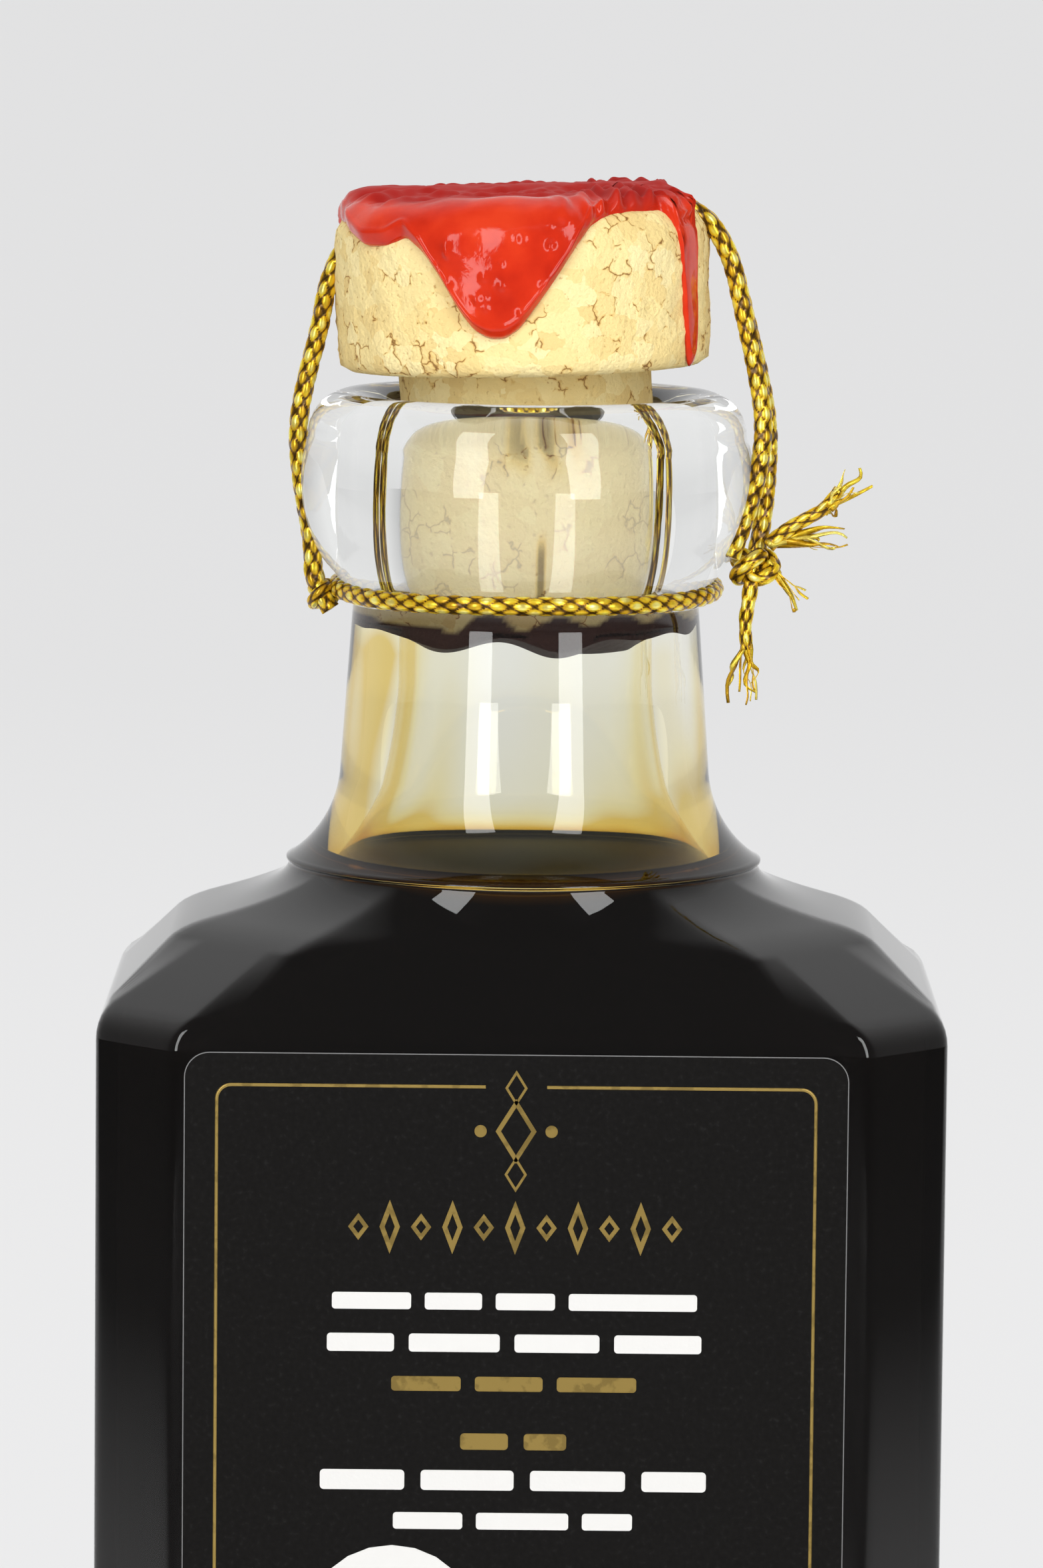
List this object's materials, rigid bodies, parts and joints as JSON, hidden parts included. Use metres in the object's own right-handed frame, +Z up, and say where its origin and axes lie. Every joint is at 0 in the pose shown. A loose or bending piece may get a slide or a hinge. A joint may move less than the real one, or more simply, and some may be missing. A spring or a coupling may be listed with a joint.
{
  "type": "vinegar bottle",
  "caption": "Oblong clear glass bottle of dark vinegar with bevelled shoulders, a bowl-shaped collar, a cork stopper under red wax, a gold tie cord and a black label.",
  "frame": {"origin": "middle of the foot, on the surface the bottle stands on", "axes": "+Z up through the neck, the label faces -Y, +X is to the right of the label"},
  "size_m": [0.063, 0.0476, 0.1663],
  "materials": {
    "clear_glass": "gloss",
    "dark_vinegar": "gloss",
    "pressed_cork": "matte",
    "red_wax": "gloss",
    "gold_cord": "satin",
    "label_paper": "satin"
  },
  "bodies": {
    "root": {"bottle_glass": "clear_glass", "vinegar": "dark_vinegar", "cork_stopper": "pressed_cork", "wax_seal": "red_wax", "front_label": "label_paper", "tie_cord_ring": "gold_cord", "tie_cord_knot": "gold_cord", "tie_cord_front_strand": "gold_cord", "tie_cord_rear_strand": "gold_cord", "tie_cord_upper_tail": "gold_cord", "tie_cord_lower_tail": "gold_cord"}
  },
  "joints": []
}
